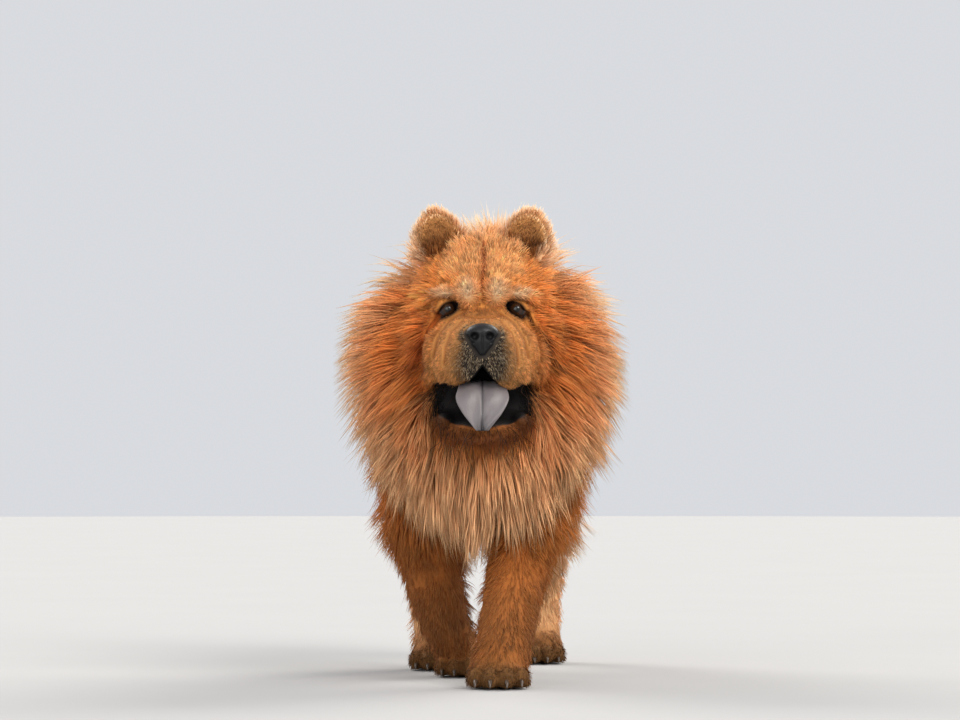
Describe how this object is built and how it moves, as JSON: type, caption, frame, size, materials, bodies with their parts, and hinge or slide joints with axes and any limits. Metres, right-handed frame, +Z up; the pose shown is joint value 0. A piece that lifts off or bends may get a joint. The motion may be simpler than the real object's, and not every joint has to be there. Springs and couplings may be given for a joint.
{
  "type": "chow chow dog, life-size still model",
  "caption": "Life-size chow chow walking forward with a full mane, small cupped ears, wrinkled face, open mouth, blue-grey tongue and a curled tail plume.",
  "frame": {"origin": "on the floor under the middle of the whole dog's bounding box", "axes": "-Y the way the dog faces, +Y towards its tail, +X its left side, +Z up"},
  "size_m": [0.388, 0.7936, 0.6591],
  "materials": {
    "red_coat": "dense red-gold fur",
    "golden_coat": "long golden mane",
    "cream_coat": "pale cream plume",
    "face_coat": "short plush orange fur",
    "dark_skin": "moist black skin",
    "tongue": "wet blue-grey tongue",
    "eye": "wet dark brown"
  },
  "bodies": {
    "root": {"head": "face_coat", "jaw": "dark_skin", "tongue": "tongue", "ear_left": "face_coat", "ear_right": "face_coat", "hindleg_left_upper": "red_coat", "hindleg_right_upper": "red_coat", "tail_base": "cream_coat", "tail_tip": "cream_coat", "torso": "red_coat", "neck": "golden_coat", "foreleg_left_upper": "red_coat", "foreleg_right_upper": "red_coat", "foreleg_left_lower": "red_coat", "foreleg_right_lower": "red_coat", "hindleg_left_lower": "red_coat", "hindleg_right_lower": "red_coat", "forepaw_left": "red_coat", "forepaw_right": "red_coat", "hindpaw_left": "red_coat", "hindpaw_right": "red_coat", "eye_left": "eye", "eye_right": "eye", "nose": "dark_skin"}
  },
  "joints": []
}
